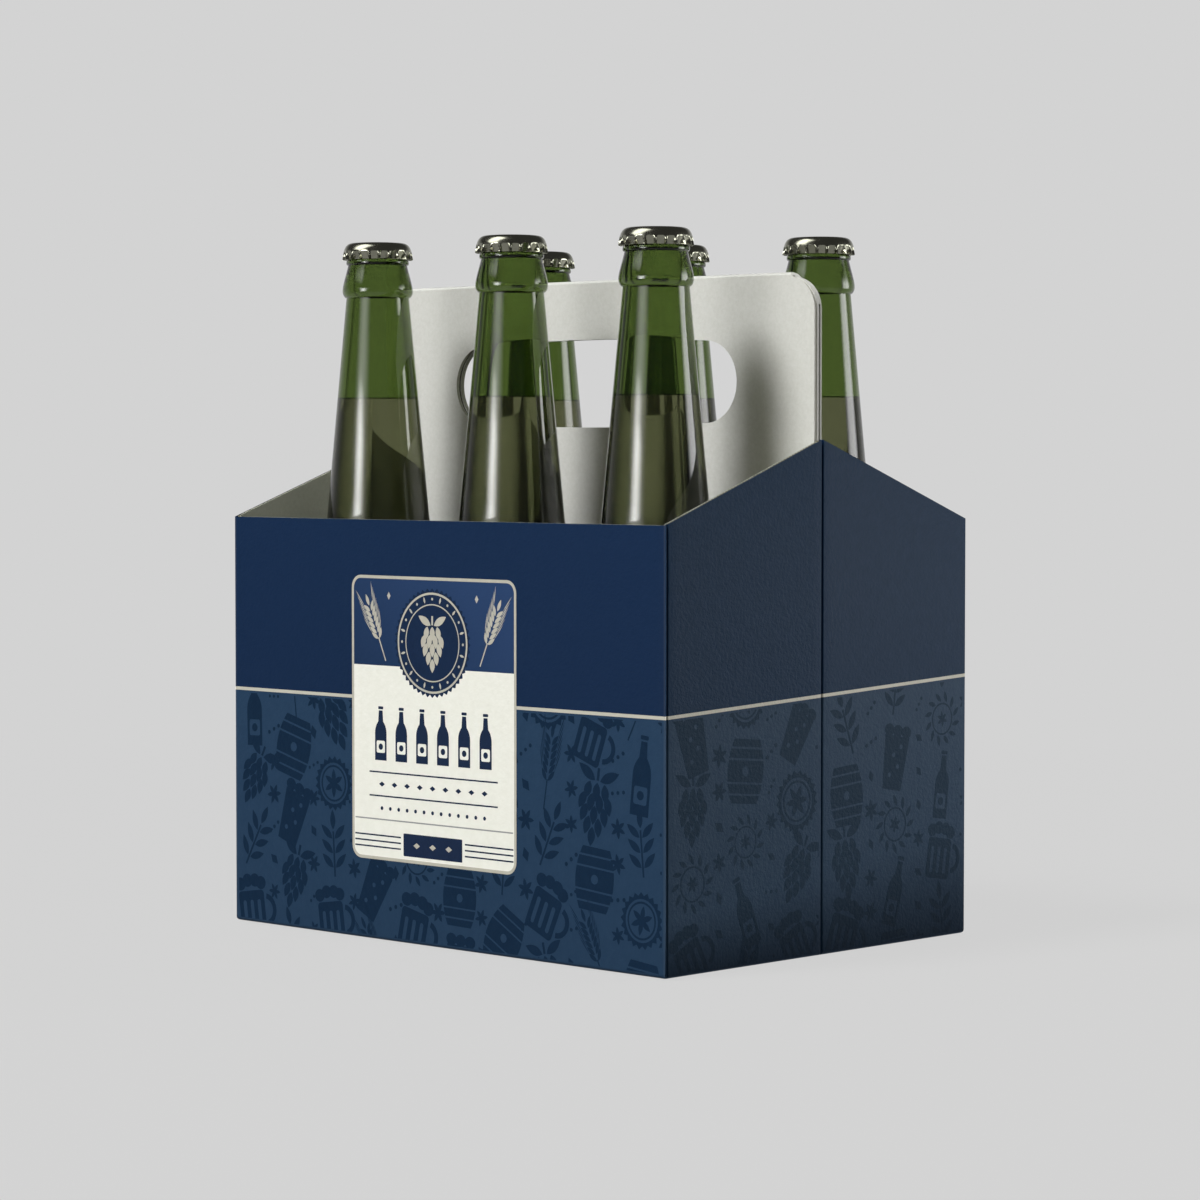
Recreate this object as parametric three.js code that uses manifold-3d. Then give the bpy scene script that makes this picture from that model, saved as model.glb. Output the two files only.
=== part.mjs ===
// A six-pack bottle carrier: a basket folded and glued from one board blank, with a gable at each end and a centre
// handle, holding six capped long-neck bottles of drink. Millimetres, +Z up. The origin is on the surface that the
// carrier stands on, under its centre. The long front wall faces -Y and the gabled ends face +X and -X.
import * as THREE from "three";
import { mergeVertices } from "three/addons/utils/BufferGeometryUtils.js";
import Module from "manifold-3d";

// The basket, outside sizes
const LENGTH = 200;
const DEPTH = 146;
const WALL_TOP = 137.7;
const GABLE_TOP = 163.8;
const BOARD = 1.5; // fine corrugated board
const FLOOR = 2 * BOARD; // the bottom flaps overlap
const FOLD_RADIUS = 1.8;

// The handle, two plies that turn in at the gables' seams and lie back to back. They hang together by a fold along
// the top, which ends in a small step down to each rounded corner.
const HANDLE_TOP = 216.9;
const HANDLE_HALF_LENGTH = 97.8;
const HANDLE_THICKNESS = 3.6;
const HANDLE_CORNER = 10.5;
const HANDLE_CORNER_ARC = (75 / 180) * Math.PI;
const TOP_FOLD_HALF_LENGTH = 86.4;
const TOP_FOLD_STEP = 1.7;
const STEP_SOFTNESS = 1.4; // length of the curve handles that round the step

// The slit between the plies, which goes on down each gable as its seam
const SLIT = 0.8;
const SLIT_REACH = 4; // how far in from each gable's outside
const SLIT_TOP = 205.8;

// The hand hole, round at both ends, with a slight crown along its long sides
const HOLE_HALF_LENGTH = 65;
const HOLE_END_RADIUS = 13.4;
const HOLE_CROWN = 1.25;
const HOLE_Z = 182.5;

// Six bottles in two rows of three
const COLUMN_PITCH = 64.5;
const ROW_OFFSET = 39.3;
const REST_GAP = 0.3; // clearance between pieces that touch

// One bottle: radii, and heights above its own foot
const BODY_RADIUS = 30.5;
const FOOT_RADIUS = 24;
const FOOT_ROUND = 5.5;
const PUNT = 3.5; // the hollow under the bottle
const SHOULDER_Z = 98;
const SHOULDER_PULL = 0.45; // length of the shoulder's curve handles as a share of its height
const NECK_BASE_Z = 141;
const NECK_BASE_RADIUS = 16.75;
const COLLAR_Z = 208.3;
const COLLAR_RADIUS = 10.6;
const BEAD_RADIUS = 11.75;
const BEAD_LOW_Z = 210.9;
const BEAD_HIGH_Z = 212.3;
const BEAD_UNDERCUT = 0.6;
const BEAD_SWELL = 2.9; // height over which the bead bulges before it draws in to the throat
const THROAT_Z = 219.6;
const THROAT_RADIUS = 10;
const LIP_Z = 226.15;
const LIP_ROUND = 0.6;
const MOUTH_RADIUS = 8.2;
const GLASS = 2.2; // wall thickness
const GLASS_FLOOR = 6;
const FILL_Z = 174.2;

// The crown cap, fluted along the lower half of its skirt
const CAP_TOP_Z = 226.9;
const CAP_BOTTOM_Z = 221.2;
const CAP_SHELL = 0.4;
const CAP_FLAT_RADIUS = 9.4;
const CAP_EDGE_RADIUS = 10.8;
const CAP_EDGE_Z = 226;
const CAP_SIDE_RADIUS = 11.45;
const CAP_RIM_RADIUS = 11.5;
const CAP_FLUTES = 21;
const CAP_FLUTE_DEPTH = 0.32;
const CAP_FLUTE_TOP_Z = 223.8;

const BOTTLE_SIDES = 20;
const SHOULDER_STEPS = 5;
const SMALL_CURVE_STEPS = 2;
const ARC_STEPS = 5;
const FINE_ARC_STEPS = 12;

const wasm = await Module();
wasm.setup();

const printedBoard = new THREE.MeshStandardMaterial({ color: 0x1b2c4a, roughness: 0.55, metalness: 0 });
const greenGlass = new THREE.MeshStandardMaterial({
  color: 0x3f5a1f,
  roughness: 0.05,
  metalness: 0,
  transparent: true,
  opacity: 0.55,
});
const drink = new THREE.MeshStandardMaterial({ color: 0x4a4a26, roughness: 0.1, metalness: 0 });
const capMetal = new THREE.MeshStandardMaterial({ color: 0x9a9a8c, roughness: 0.25, metalness: 1 });

const corner = (r, z) => new THREE.Vector2(r, z);

// A closed three.js geometry as a solid for joining and cutting.
function solidFrom(geometry) {
  const bare = geometry.clone().deleteAttribute("normal").deleteAttribute("uv");
  const merged = mergeVertices(bare, 1e-4);
  return new wasm.Manifold(
    new wasm.Mesh({
      numProp: 3,
      vertProperties: merged.attributes.position.array,
      triVerts: new Uint32Array(merged.index.array),
    }),
  );
}

// A joined or cut solid back as a three.js geometry.
function geometryFrom(solid) {
  const { vertProperties, triVerts } = solid.getMesh();
  const geometry = new THREE.BufferGeometry();
  geometry.setAttribute("position", new THREE.BufferAttribute(new Float32Array(vertProperties), 3));
  geometry.setIndex(new THREE.BufferAttribute(new Uint32Array(triVerts), 1));
  return geometry;
}

function box([x0, x1], [y0, y1], [z0, z1]) {
  const geometry = new THREE.BoxGeometry(x1 - x0, y1 - y0, z1 - z0);
  geometry.translate((x0 + x1) / 2, (y0 + y1) / 2, (z0 + z1) / 2);
  return solidFrom(geometry);
}

function prism(shape, height, curveSegments = ARC_STEPS) {
  return new THREE.ExtrudeGeometry(shape, { depth: height, bevelEnabled: false, curveSegments });
}

function roundedFootprint(length, depth, radius) {
  const x = length / 2 - radius;
  const y = depth / 2 - radius;
  return new THREE.Shape()
    .absarc(x, -y, radius, -Math.PI / 2, 0)
    .absarc(x, y, radius, 0, Math.PI / 2)
    .absarc(-x, y, radius, Math.PI / 2, Math.PI)
    .absarc(-x, -y, radius, Math.PI, 1.5 * Math.PI);
}

// What the gables' slopes leave free: everything above two lines that fall from the point to both long walls.
function aboveTheGables() {
  const wall = DEPTH / 2;
  const beyond = DEPTH;
  const sky = HANDLE_TOP + BOARD;
  const outline = new THREE.Shape([
    corner(-beyond, WALL_TOP),
    corner(-wall, WALL_TOP),
    corner(0, GABLE_TOP),
    corner(wall, WALL_TOP),
    corner(beyond, WALL_TOP),
    corner(beyond, sky),
    corner(-beyond, sky),
  ]);
  const geometry = prism(outline, 2 * LENGTH);
  geometry.rotateX(Math.PI / 2).rotateZ(Math.PI / 2).translate(-LENGTH, 0, 0);
  return solidFrom(geometry);
}

function handHole() {
  const x = HOLE_HALF_LENGTH - HOLE_END_RADIUS;
  const crown = HOLE_END_RADIUS + 2 * HOLE_CROWN; // a quadratic's control point stands twice as far out as its middle
  return new THREE.Path()
    .absarc(x, HOLE_Z, HOLE_END_RADIUS, -Math.PI / 2, Math.PI / 2)
    .quadraticCurveTo(0, HOLE_Z + crown, -x, HOLE_Z + HOLE_END_RADIUS)
    .absarc(-x, HOLE_Z, HOLE_END_RADIUS, Math.PI / 2, 1.5 * Math.PI)
    .quadraticCurveTo(0, HOLE_Z - crown, x, HOLE_Z - HOLE_END_RADIUS);
}

function handleBoard() {
  const arcX = HANDLE_HALF_LENGTH - HANDLE_CORNER;
  const arcZ = HANDLE_TOP - TOP_FOLD_STEP - HANDLE_CORNER;
  const cos = Math.cos(HANDLE_CORNER_ARC);
  const sin = Math.sin(HANDLE_CORNER_ARC);
  const stepLow = corner(arcX + HANDLE_CORNER * cos, arcZ + HANDLE_CORNER * sin);
  const rightHalf = new THREE.Path()
    .moveTo(HANDLE_HALF_LENGTH, BOARD)
    .lineTo(HANDLE_HALF_LENGTH, arcZ)
    .absarc(arcX, arcZ, HANDLE_CORNER, 0, HANDLE_CORNER_ARC)
    .bezierCurveTo(
      stepLow.x - STEP_SOFTNESS * sin,
      stepLow.y + STEP_SOFTNESS * cos,
      TOP_FOLD_HALF_LENGTH + STEP_SOFTNESS,
      HANDLE_TOP,
      TOP_FOLD_HALF_LENGTH,
      HANDLE_TOP,
    )
    .getPoints(FINE_ARC_STEPS);
  const leftHalf = rightHalf.map(({ x, y }) => corner(-x, y)).reverse();
  const outline = new THREE.Shape([...rightHalf, ...leftHalf]);
  outline.holes.push(handHole());
  const geometry = prism(outline, HANDLE_THICKNESS, FINE_ARC_STEPS);
  geometry.rotateX(Math.PI / 2).translate(0, HANDLE_THICKNESS / 2, 0);
  return solidFrom(geometry);
}

function slit(side) {
  const outside = (side * LENGTH) / 2;
  const reach = [outside - side * SLIT_REACH, outside + side * BOARD].sort((a, b) => a - b);
  return box(reach, [-SLIT / 2, SLIT / 2], [BOARD, SLIT_TOP]);
}

function carrierSolid() {
  const insideX = LENGTH / 2 - BOARD;
  const insideY = DEPTH / 2 - BOARD;
  const halfHandle = HANDLE_THICKNESS / 2;
  const outside = solidFrom(prism(roundedFootprint(LENGTH, DEPTH, FOLD_RADIUS), GABLE_TOP));
  const frontCell = box([-insideX, insideX], [-insideY, -halfHandle], [FLOOR, HANDLE_TOP]);
  const rearCell = box([-insideX, insideX], [halfHandle, insideY], [FLOOR, HANDLE_TOP]);
  const aboveTheWalls = box([-insideX, insideX], [-DEPTH, DEPTH], [WALL_TOP, HANDLE_TOP]);
  return outside
    .subtract(frontCell)
    .subtract(rearCell)
    .subtract(aboveTheGables())
    .subtract(aboveTheWalls)
    .add(handleBoard())
    .subtract(slit(1))
    .subtract(slit(-1));
}

// A profile of radii and heights, from axis to axis, turned about Z.
function turned(profile, sides) {
  return new THREE.LatheGeometry(profile, sides).rotateX(Math.PI / 2);
}

// The shoulder's curve, upright where it leaves the body and in line with the neck's taper where it ends.
function shoulder(inset, steps) {
  const taper = (NECK_BASE_RADIUS - COLLAR_RADIUS) / (COLLAR_Z - NECK_BASE_Z);
  const reach = (NECK_BASE_Z - SHOULDER_Z) * SHOULDER_PULL;
  const low = corner(BODY_RADIUS - inset, SHOULDER_Z);
  const high = corner(NECK_BASE_RADIUS - inset, NECK_BASE_Z);
  const curve = new THREE.CubicBezierCurve(
    low,
    corner(low.x, low.y + reach),
    corner(high.x + taper * reach, high.y - reach),
    high,
  );
  return curve.getPoints(steps);
}

function bottleGeometry() {
  const foot = new THREE.QuadraticBezierCurve(
    corner(FOOT_RADIUS, 0),
    corner(BODY_RADIUS, 0),
    corner(BODY_RADIUS, FOOT_ROUND),
  );
  const beadUnder = new THREE.QuadraticBezierCurve(
    corner(COLLAR_RADIUS, COLLAR_Z),
    corner(BEAD_RADIUS, COLLAR_Z + BEAD_UNDERCUT),
    corner(BEAD_RADIUS, BEAD_LOW_Z),
  );
  const beadOver = new THREE.QuadraticBezierCurve(
    corner(BEAD_RADIUS, BEAD_HIGH_Z),
    corner(BEAD_RADIUS, BEAD_HIGH_Z + BEAD_SWELL),
    corner(THROAT_RADIUS, THROAT_Z),
  );
  const outer = [
    corner(0, PUNT),
    ...foot.getPoints(SMALL_CURVE_STEPS),
    ...shoulder(0, SHOULDER_STEPS),
    ...beadUnder.getPoints(SMALL_CURVE_STEPS),
    ...beadOver.getPoints(SMALL_CURVE_STEPS),
    corner(THROAT_RADIUS, LIP_Z - LIP_ROUND),
    corner(THROAT_RADIUS - LIP_ROUND, LIP_Z),
  ];
  const inner = [corner(MOUTH_RADIUS, LIP_Z), corner(MOUTH_RADIUS, COLLAR_Z), ...hollow(0)];
  return turned([...outer, ...inner], BOTTLE_SIDES);
}

// The inside of the glass from the neck's base down to the axis, drawn in by a gap.
function hollow(gap) {
  const radius = BODY_RADIUS - GLASS - gap;
  return [
    ...shoulder(GLASS + gap, SHOULDER_STEPS).reverse(),
    corner(radius, GLASS_FLOOR + FOOT_ROUND + gap),
    corner(FOOT_RADIUS - GLASS - gap, GLASS_FLOOR + gap),
    corner(0, GLASS_FLOOR + GLASS + gap),
  ];
}

function drinkGeometry() {
  const rise = (FILL_Z - NECK_BASE_Z) / (COLLAR_Z - NECK_BASE_Z);
  const atNeckBase = NECK_BASE_RADIUS - GLASS;
  const surfaceRadius = atNeckBase + (MOUTH_RADIUS - atNeckBase) * rise - REST_GAP;
  const downwards = [corner(0, FILL_Z), corner(surfaceRadius, FILL_Z), ...hollow(REST_GAP)];
  return turned(downwards.reverse(), BOTTLE_SIDES);
}

// A vertex of the cap's skirt moves in and out with its angle, more so towards the rim.
function flute(geometry) {
  const { position } = geometry.attributes;
  const point = new THREE.Vector3();
  for (let i = 0; i < position.count; i++) {
    point.fromBufferAttribute(position, i);
    const down = (CAP_FLUTE_TOP_Z - point.z) / (CAP_FLUTE_TOP_Z - CAP_BOTTOM_Z);
    if (down <= 0) continue;
    const radius = Math.hypot(point.x, point.y);
    const wave = Math.cos(CAP_FLUTES * Math.atan2(point.y, point.x));
    const scale = 1 + (CAP_FLUTE_DEPTH * down * wave) / radius;
    position.setXYZ(i, point.x * scale, point.y * scale, point.z);
  }
  return geometry;
}

function capGeometry() {
  const outer = [
    corner(CAP_RIM_RADIUS, CAP_BOTTOM_Z),
    corner(CAP_SIDE_RADIUS, CAP_FLUTE_TOP_Z),
    corner(CAP_EDGE_RADIUS, CAP_EDGE_Z),
    corner(CAP_FLAT_RADIUS, CAP_TOP_Z),
  ];
  const inner = outer.map(({ x, y }, i) => corner(x - CAP_SHELL, i === 0 ? y : y - CAP_SHELL)).reverse();
  const profile = [corner(0, CAP_TOP_Z - CAP_SHELL), ...inner, ...outer, corner(0, CAP_TOP_Z)];
  return flute(turned(profile, 2 * CAP_FLUTES));
}

function named(name, geometry, material) {
  const mesh = new THREE.Mesh(geometry, material);
  mesh.name = name;
  return mesh;
}

const carrier = new THREE.Group();
carrier.add(named("carrier_board", geometryFrom(carrierSolid()), printedBoard));

const shapes = { glass: bottleGeometry(), drink: drinkGeometry(), cap: capGeometry() };
const ROWS = { front: -ROW_OFFSET, rear: ROW_OFFSET };
const COLUMNS = { left: -COLUMN_PITCH, middle: 0, right: COLUMN_PITCH };
for (const [row, y] of Object.entries(ROWS)) {
  for (const [column, x] of Object.entries(COLUMNS)) {
    const bottle = new THREE.Group();
    bottle.position.set(x, y, FLOOR + REST_GAP);
    bottle.add(named(`glass_${row}_${column}`, shapes.glass, greenGlass));
    bottle.add(named(`drink_${row}_${column}`, shapes.drink, drink));
    bottle.add(named(`cap_${row}_${column}`, shapes.cap, capMetal));
    carrier.add(bottle);
  }
}

export default carrier;
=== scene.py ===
# A six-pack bottle carrier folded from printed corrugated board, with six capped bottles of drink.
# The shapes below are worked out in millimetres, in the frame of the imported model, and turned to
# metres as each piece is placed.
import math
import random

import bmesh
import bpy
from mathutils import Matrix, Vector
from mathutils.geometry import tessellate_polygon


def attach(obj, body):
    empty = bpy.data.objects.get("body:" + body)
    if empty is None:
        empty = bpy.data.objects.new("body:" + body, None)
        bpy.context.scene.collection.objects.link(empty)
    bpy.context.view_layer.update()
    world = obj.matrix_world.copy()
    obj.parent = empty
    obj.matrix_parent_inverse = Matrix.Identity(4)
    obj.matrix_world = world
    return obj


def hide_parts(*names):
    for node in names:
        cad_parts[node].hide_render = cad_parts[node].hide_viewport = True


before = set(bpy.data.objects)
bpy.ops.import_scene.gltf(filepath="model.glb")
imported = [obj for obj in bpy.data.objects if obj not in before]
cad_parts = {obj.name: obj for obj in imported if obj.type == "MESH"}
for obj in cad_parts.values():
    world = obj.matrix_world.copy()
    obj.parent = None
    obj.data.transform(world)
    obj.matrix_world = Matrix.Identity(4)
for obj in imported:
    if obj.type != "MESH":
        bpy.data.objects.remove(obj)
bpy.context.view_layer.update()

MM = 0.001
TAU = 2 * math.pi

# The basket, outside sizes. The printed face lies a little inside them, which leaves room for the ink on top.
LENGTH = 200
DEPTH = 146
WALL_TOP = 137.7
GABLE_TOP = 163.8
BOARD = 1.5
FLOOR = 2 * BOARD
INK_ROOM = 0.08
FACE_X = LENGTH / 2 - INK_ROOM
FACE_Y = DEPTH / 2 - INK_ROOM
LINER = 0.25
FLUTE_PITCH = 1.3
FLUTE_PAPER = 0.2
CORNER_SOFTNESS = 0.25
GROOVE_FROM_CORNER = 0.35
GROOVE_WIDTH = 0.85
GROOVE_DEPTH = 0.5
SEAM_GAP = 0.75
SEAM_FOLD = 0.4
SEAM_DEPTH = 0.9
BOTTOM_FOLD = 1.3
# Where a painted highlight runs along the front's end creases: its distance in from the end, its width and
# its share
CREASE_HIGHLIGHT_INSET = 0.65
CREASE_HIGHLIGHT_WIDTH = 0.52
CREASE_HIGHLIGHT_SHARE = 0.03
# How high the painted shade at the foot of the end walls reaches, at the near corner and at the far one
END_SHADE_NEAR = 17
END_SHADE_FAR = 36
EDGE_SOFTNESS = 0.12
FACE_DEPTH = 0.3
FLUTE_BITE = 0.02
FLUTE_DROP = 0.05
FLUTE_SIDES = 12
GROOVE_LEAN = 0.1
GROOVE_LIP = 0.12
GROOVE_ROUND = 0.08
FLAP_GAP = 0.05
FLAP_LAP = 20

# The handle, two plies of the same board
HANDLE_TOP = 216.9
HANDLE_HALF_LENGTH = 97.8
HANDLE_THICKNESS = 3.6
HANDLE_CORNER = 10.5
HANDLE_CORNER_ARC = 75
TOP_FOLD_HALF_LENGTH = 86.4
TOP_FOLD_STEP = 1.7
STEP_SOFTNESS = 1.4
FOLD_HEIGHT = 1.0
SLIT = 0.8
SLIT_TOP = 205.8
PLY_FRONT = -0.45
SLIT_FRONT = 0.4
SLIT_BACK = 1.15
CORE_RECESS = 0.3
GAP_RECESS = 0.45
CUT_RECESS = 0.08
STEP_RECESS = 0.03
HOLE_HALF_LENGTH = 65
HOLE_END_RADIUS = 13.4
HOLE_CROWN = 1.25
HOLE_Z = 182.5

# Six bottles in two rows of three, each with its heights above its own foot
COLUMN_PITCH = 64.5
ROW_OFFSET = 39.3
REST_GAP = 0.3
BODY_RADIUS = 30.5
FOOT_RADIUS = 24
FOOT_ROUND = 5.5
PUNT = 3.5
SHOULDER_Z = 98
SHOULDER_PULL = 0.45
NECK_PULL = 0.55
NECK_BASE_Z = 141
SHOULDER_TOP_Z = 136
NECK_BASE_RADIUS = 16.75
COLLAR_Z = 208.3
COLLAR_RADIUS = 10.6
BEAD_RADIUS = 11.9
BEAD_Z = 210.8
RING_RADIUS = 10.6
RING_Z = 220.3
THROAT_Z = 219.3
THROAT_RADIUS = 10
LIP_Z = 226.15
LIP_ROUND = 0.6
MOUTH_RADIUS = 8.2
GLASS = 2.2
GLASS_FLOOR = 6
FILL_Z = 174.2
MENISCUS = 0.35
MENISCUS_REACH = 2.2
DRINK_IN_WALL = 0.12

# The crown cap: a soft shoulder and a skirt pressed in between narrow ridges, in panels with round tops
CAP_TOP_Z = 226.9
CAP_BOTTOM_Z = 221.2
CAP_SHELL = 0.3
CAP_FLAT_RADIUS = 8.5
CAP_SIDE_RADIUS = 11.6
CAP_SKIRT_RADIUS = 11.95
CAP_RIM_RADIUS = 11.7
CAP_SIDE_Z = 223.4
CAP_CURL_Z = 221.5
CAP_FLUTES = 21
PANEL_HALF_WIDTH = 1.36
PANEL_TOP_Z = 224.0
PANEL_TOP_DEPTH = 0.1
PANEL_LOW_DEPTH = 1.4
PANEL_WALL = 0.36

# The print: a thin band that climbs towards the back of the pack, and a label on both long walls
BAND_Z = 79.4
BAND_SLOPE = 0.0445
BAND_WIDTH = 1.08


# Shapes

class Shape:
    """Points, faces and the material number of each face, in millimetres."""

    def __init__(self):
        self.points = []
        self.faces = []
        self.tones = []

    def add(self, points, faces, tones=None):
        first = len(self.points)
        self.points += points
        self.faces += [[first + i for i in face] for face in faces]
        self.tones += tones or [0] * len(faces)
        return self

    def moved(self, place):
        self.points = [place(*p) for p in self.points]
        return self

    def join(self, other):
        return self.add(other.points, other.faces, other.tones)


def rings(loops):
    """A closed skin through loops of equally many points, with a face over each end."""
    count = len(loops[0])
    points = [p for loop in loops for p in loop]
    faces = []
    for here in range(0, len(points) - count, count):
        for j in range(count):
            k = (j + 1) % count
            faces.append((here + j, here + k, here + count + k, here + count + j))
    faces.append(tuple(range(count))[::-1])
    faces.append(tuple(range(len(points) - count, len(points))))
    return Shape().add(points, faces)


def prism(outlines, low, high):
    """A closed plate between two heights over flat outlines: the first is the rim, the others are holes."""
    flat = [[Vector((x, y, 0)) for x, y in outline] for outline in outlines]
    corners = [p for outline in outlines for p in outline]
    count = len(corners)
    triangles = tessellate_polygon(flat)
    faces = [tuple(t) for t in triangles] + [tuple(i + count for i in reversed(t)) for t in triangles]
    first = 0
    for outline in outlines:
        for i in range(len(outline)):
            j = (i + 1) % len(outline)
            faces.append((first + i, first + j, first + j + count, first + i + count))
        first += len(outline)
    points = [(x, y, low) for x, y in corners] + [(x, y, high) for x, y in corners]
    return Shape().add(points, faces)


def between(a, b, share):
    """The point a share of the way from one point to another."""
    return (a[0] + (b[0] - a[0]) * share, a[1] + (b[1] - a[1]) * share)


def on_circle(radius, angle):
    """The point of a circle around the origin at an angle in radians."""
    return (radius * math.cos(angle), radius * math.sin(angle))


def arc(cx, cy, radius, start, end, steps):
    """Points along an arc, with angles in degrees."""
    turns = [math.radians(start + (end - start) * i / steps) for i in range(steps + 1)]
    return [(cx + radius * math.cos(a), cy + radius * math.sin(a)) for a in turns]


def bezier(points, steps):
    """Points along a quadratic or cubic Bezier curve."""
    degree = len(points) - 1
    curve = []
    for i in range(steps + 1):
        t = i / steps
        weights = [math.comb(degree, k) * t**k * (1 - t) ** (degree - k) for k in range(degree + 1)]
        curve.append(tuple(sum(w * p[axis] for w, p in zip(weights, points)) for axis in (0, 1)))
    return curve


def chained(*curves):
    """Bezier curves in a row, each given as its points and its steps, without the very first point."""
    return [p for points, steps in curves for p in bezier(points, steps)[1:]]


def resampled(path, step):
    """The same line with points at an even step along it."""
    gaps = [math.dist(a, b) for a, b in zip(path, path[1:])]
    total = sum(gaps)
    count = max(1, round(total / step))
    line = []
    leg = 0
    start = 0.0
    for i in range(count + 1):
        along = total * i / count
        while leg < len(gaps) - 1 and along > start + gaps[leg]:
            start += gaps[leg]
            leg += 1
        line.append(between(path[leg], path[leg + 1], min(1.0, (along - start) / gaps[leg])))
    return line


def rightward(a, b):
    """The direction to the right of the way from one point to another."""
    length = math.dist(a, b)
    return ((b[1] - a[1]) / length, (a[0] - b[0]) / length)


def normals(path):
    """The direction to the right of the path at each of its points."""
    return [rightward(a, b) for a, b in zip(path[:1] + path, path[1:] + path[-1:])]


def turned(profile, sides, tones=None):
    """A profile of radii and heights, from axis to axis, turned about Z."""
    inner = profile[1:-1]
    count = len(inner)
    points = [(*on_circle(r, TAU * i / sides), z) for i in range(sides) for r, z in inner]
    low, high = len(points), len(points) + 1
    points += [(0, 0, profile[0][1]), (0, 0, profile[-1][1])]
    faces = []
    for i in range(sides):
        here, there = i * count, (i + 1) % sides * count
        faces.append((low, there, here))
        faces += [(here + j, there + j, there + j + 1, here + j + 1) for j in range(count - 1)]
        faces.append((here + count - 1, there + count - 1, high))
    return Shape().add(points, faces, tones and tones * sides)


def new_object(name, data):
    made = bpy.data.objects.new(name, data)
    bpy.context.scene.collection.objects.link(made)
    return made


def place(name, shape, materials, slot="printed_board", smooth_to=35, replaces=()):
    """Makes the shape a piece of the object, in metres, on the one body."""
    mesh = bpy.data.meshes.new(name)
    mesh.from_pydata([(x * MM, y * MM, z * MM) for x, y, z in shape.points], [], shape.faces)
    for material in materials:
        mesh.materials.append(material)
    mesh.polygons.foreach_set("material_index", shape.tones)
    work = bmesh.new()
    work.from_mesh(mesh)
    bmesh.ops.remove_doubles(work, verts=work.verts, dist=1e-7)
    bmesh.ops.recalc_face_normals(work, faces=work.faces)
    work.to_mesh(mesh)
    work.free()
    mesh.shade_smooth()
    mesh.set_sharp_from_angle(angle=math.radians(smooth_to))
    piece = new_object(name, mesh)
    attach(piece, "root")
    if replaces:
        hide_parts(*replaces)


# Materials

def srgb(red, green, blue):
    """A colour given in 0 to 255 as linear red, green, blue and alpha."""
    def linear(value):
        v = value / 255
        return v / 12.92 if v <= 0.04045 else ((v + 0.055) / 1.055) ** 2.4
    return (linear(red), linear(green), linear(blue), 1)


# Inks, papers and metal, each as the two tones that it varies between
NAVY = srgb(10, 34, 64), srgb(13, 36, 66)
FIELD = srgb(31, 55, 81), srgb(34, 58, 84)
MOTIF = srgb(5, 31, 55), srgb(9, 35, 59)
CREAM = srgb(188, 185, 174), srgb(182, 178, 165)
# The end walls' inks: the navy inks made lighter, as painted sheen from the light at the side
END_NAVY_PAINTED_SHEEN = srgb(26, 52, 80), srgb(20, 48, 75)
END_FIELD_PAINTED_SHEEN = srgb(53, 75, 98), srgb(45, 67, 91)
END_MOTIF_PAINTED_SHEEN = srgb(18, 47, 69), srgb(20, 49, 71)
LABEL_WHITE = srgb(237, 237, 230), srgb(232, 232, 224)
LABEL_DISC = srgb(18, 38, 68), srgb(16, 35, 63)
LABEL_NAVY = srgb(22, 38, 66), srgb(20, 35, 61)
LABEL_GREY = srgb(150, 152, 152), srgb(142, 144, 145)
LABEL_BLUE = srgb(24, 46, 78), srgb(40, 64, 104)
OUTER_PAPER = srgb(212, 212, 208), srgb(204, 204, 199)
# The basket's inner liner: the same white board as the handle's faces, made darker and olive as painted shade
# inside the basket
INNER_PAPER_PAINTED_SHADE = srgb(195, 198, 186), srgb(186, 189, 176)
# The flutes' paper, darkened as painted shade in the hollows between the liners
WAVY_PAPER_PAINTED_SHADE = srgb(138, 136, 116), srgb(122, 120, 100)
CUT_CORE = srgb(206, 205, 197), srgb(195, 194, 184)
# Painted shade for the handle's hole edges, and a near-black painted shade for the slit between its plies
SHADED_CUT = srgb(146, 147, 131), srgb(134, 135, 119)
GAP_SHADE = srgb(50, 50, 38), srgb(44, 44, 32)
TINPLATE = srgb(170, 170, 154), srgb(150, 150, 134)

# The end walls: their band, lightened as painted sheen, their painted shade at the bottom fold and its share,
# and their grain against the front's
END_CREAM_PAINTED_SHEEN = srgb(222, 218, 205)
END_PAINTED_SHADE = srgb(4, 16, 30)
END_PAINTED_SHADE_SHARE = 0.8
END_RELIEF = 2.2

# Depths in metres of the board's fibres and of its grain, printed and bare
FIBRES = 0.000012
GRAIN = 0.0001
BARE_FIBRES = 0.00002
BARE_GRAIN = 0.00004
LABEL_RELIEF = 0.7

# Linear tints. The outside of the glass carries its green, and a tint of its own where drink lies behind it.
GREEN_GLASS = (0.096, 0.149, 0.032, 1)
WET_GREEN_GLASS = (0.28, 0.29, 0.175, 1)
CLEAR_GLASS = (0.93, 0.95, 0.9, 1)
WET_CLEAR_GLASS = (0.95, 0.97, 0.93, 1)
BREW = (0.51, 0.522, 0.43, 1)
DARK_LINE = (0.004, 0.008, 0.002, 1)
GLASS_IOR = 1.5
BREW_IOR = 2.0


def fill_in(tree, made, inputs):
    """Sets a node's inputs, each to a value or linked to an output of another node."""
    for key, value in dict(inputs).items():
        if isinstance(value, bpy.types.NodeSocket):
            tree.links.new(value, made.inputs[key])
        else:
            made.inputs[key].default_value = value
    return made


def node(tree, kind, inputs=(), **settings):
    made = tree.nodes.new("ShaderNode" + kind)
    for key, value in settings.items():
        setattr(made, key, value)
    return fill_in(tree, made, inputs)


def of_type(tree, kind):
    return next(n for n in tree.nodes if n.type == kind)


def new_material(name):
    material = bpy.data.materials.new(name)
    material.use_nodes = True
    tree = material.node_tree
    return material, tree, of_type(tree, "BSDF_PRINCIPLED")


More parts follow.
